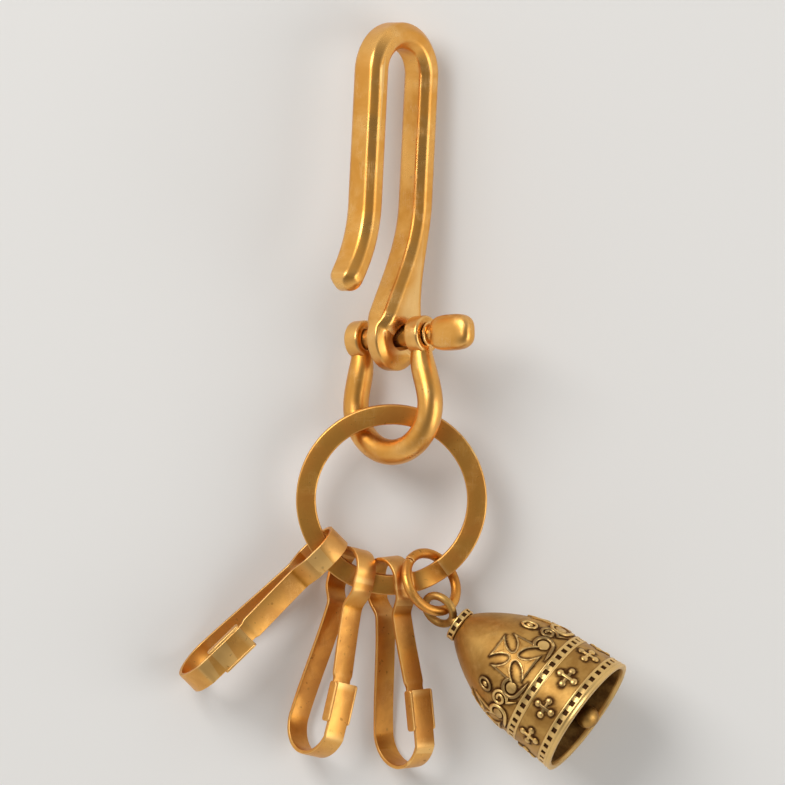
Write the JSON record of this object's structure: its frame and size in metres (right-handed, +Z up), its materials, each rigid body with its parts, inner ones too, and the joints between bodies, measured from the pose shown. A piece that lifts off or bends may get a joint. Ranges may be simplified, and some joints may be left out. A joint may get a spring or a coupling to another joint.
{
  "type": "key ring with belt hook, key clips and bell",
  "caption": "Brass belt hook, bow shackle and split ring carrying spring key clips and a small ornamented bell on a jump ring.",
  "frame": {"origin": "centre of the bounding box at its base, on the table that the object lies on", "axes": "+Z up from the table, +Y from the split ring towards the belt hook, +X towards the bell"},
  "size_m": [0.082, 0.1369, 0.0267],
  "materials": {
    "polished_brass": "polished, fine scratches",
    "golden_strip": "satin",
    "antique_brass": "antique patina"
  },
  "bodies": {
    "split_ring": {"split_ring": "golden_strip"},
    "shackle": {"shackle_bow": "polished_brass"},
    "pin": {"shackle_pin": "polished_brass"},
    "hook": {"belt_hook": "polished_brass"},
    "clip_1": {"key_clip_1": "golden_strip"},
    "clip_1_gate": {"key_clip_1_gate": "golden_strip"},
    "clip_2": {"key_clip_2": "golden_strip"},
    "clip_2_gate": {"key_clip_2_gate": "golden_strip"},
    "clip_3": {"key_clip_3": "golden_strip"},
    "clip_3_gate": {"key_clip_3_gate": "golden_strip"},
    "jump_ring": {"jump_ring": "golden_strip"},
    "bell": {"bell_shell": "antique_brass", "crown_eye": "antique_brass"},
    "clapper": {"clapper_wire": "antique_brass", "clapper_ball": "antique_brass"}
  },
  "joints": [
    {"name": "shackle_swing", "type": "hinge", "parent": "split_ring", "child": "shackle", "pos_m": [-0.00202, -0.00335, 0.00883], "axis": [-1, 0, 0], "range_deg": [-30, 3]},
    {"name": "pin_turn", "type": "hinge", "parent": "shackle", "child": "pin", "pos_m": [-0.00205, 0.01076, 0.00851], "axis": [0.7856, 0.0618, 0.6157], "continuous": true},
    {"name": "hook_swing", "type": "hinge", "parent": "shackle", "child": "hook", "pos_m": [-0.00205, 0.01076, 0.00851], "axis": [0.7856, 0.0618, 0.6157], "range_deg": [-90, 90]},
    {"name": "clip_1_swing", "type": "hinge", "parent": "split_ring", "child": "clip_1", "pos_m": [-0.01454, -0.0284, 0.00708], "axis": [0.6018, -0.7967, -0.0557], "range_deg": [-12, 35]},
    {"name": "clip_1_gate", "type": "hinge", "parent": "clip_1", "child": "clip_1_gate", "pos_m": [-0.01623, -0.03133, 0.01146], "axis": [-0.6828, 0.6929, 0.2316], "range_deg": [-12, 0], "stiffness_Nm_per_rad": 0.2},
    {"name": "clip_2_swing", "type": "hinge", "parent": "split_ring", "child": "clip_2", "pos_m": [-0.00936, -0.03281, 0.00677], "axis": [0.8838, -0.4668, -0.0326], "range_deg": [-2, 12]},
    {"name": "clip_2_gate", "type": "hinge", "parent": "clip_2", "child": "clip_2_gate", "pos_m": [-0.00745, -0.03553, 0.00979], "axis": [-0.7646, 0.1913, 0.6154], "range_deg": [-12, 0], "stiffness_Nm_per_rad": 0.2},
    {"name": "clip_3_swing", "type": "hinge", "parent": "split_ring", "child": "clip_3", "pos_m": [-0.00224, -0.03463, 0.00665], "axis": [0.9999, -0.0139, -0.001], "range_deg": [-8, 2]},
    {"name": "clip_3_gate", "type": "hinge", "parent": "clip_3", "child": "clip_3_gate", "pos_m": [0.00051, -0.03653, 0.00971], "axis": [-0.7655, -0.078, 0.6387], "range_deg": [-12, 0], "stiffness_Nm_per_rad": 0.2},
    {"name": "jump_ring_swing", "type": "hinge", "parent": "split_ring", "child": "jump_ring", "pos_m": [0.0048, -0.03307, 0.00676], "axis": [0.9003, 0.4342, 0.0304], "range_deg": [-4, 8]},
    {"name": "bell_swing", "type": "hinge", "parent": "jump_ring", "child": "bell", "pos_m": [0.00745, -0.03927, 0.00901], "axis": [0.7032, 0.184, -0.6867], "range_deg": [-20, 20]},
    {"name": "clapper_swing", "type": "hinge", "parent": "bell", "child": "clapper", "pos_m": [0.01552, -0.04552, 0.01051], "axis": [-0.5864, -0.81, 0], "range_deg": [0, 38]}
  ]
}
